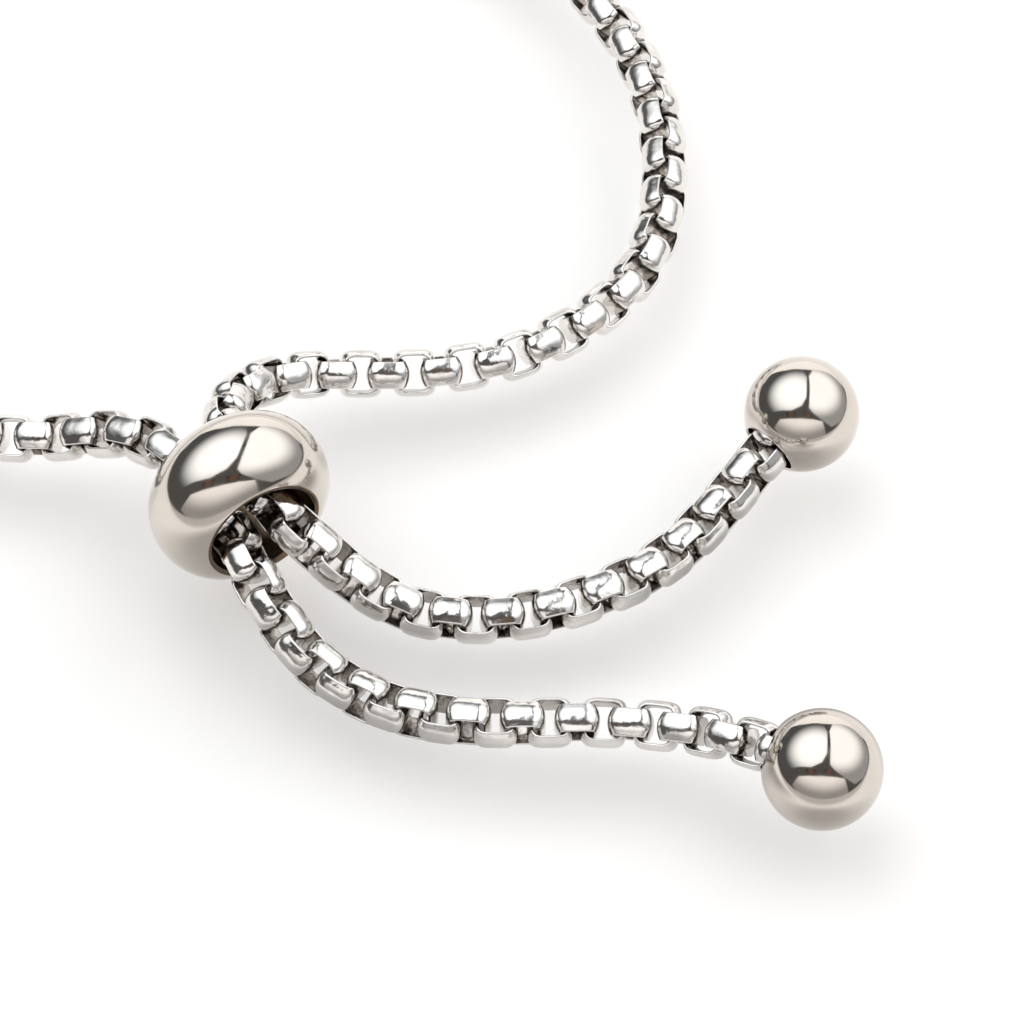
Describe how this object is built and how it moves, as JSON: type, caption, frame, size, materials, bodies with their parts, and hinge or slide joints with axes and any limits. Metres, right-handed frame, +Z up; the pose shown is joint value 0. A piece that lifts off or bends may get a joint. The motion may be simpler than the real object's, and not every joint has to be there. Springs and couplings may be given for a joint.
{
  "type": "bolo slider bracelet",
  "caption": "Polished round box chain bracelet that lies as a loop, with both ends drawn through a fat slider bead and each finished in a small ball.",
  "frame": {"origin": "on the resting surface, under the middle of the bounding box of the laid-out bracelet", "axes": "+Z up from the surface; the slider bead and the two end balls lie towards -Y, the back of the loop towards +Y, the balls towards +X"},
  "size_m": [0.067, 0.072, 0.0096],
  "materials": {
    "chain_steel": "polished",
    "bead_steel": "mirror polished",
    "ball_steel": "mirror polished"
  },
  "bodies": {
    "root": {"chain_right": "chain_steel", "chain_left": "chain_steel", "slider_bead": "bead_steel", "ball_upper": "ball_steel", "ball_lower": "ball_steel"}
  },
  "joints": []
}
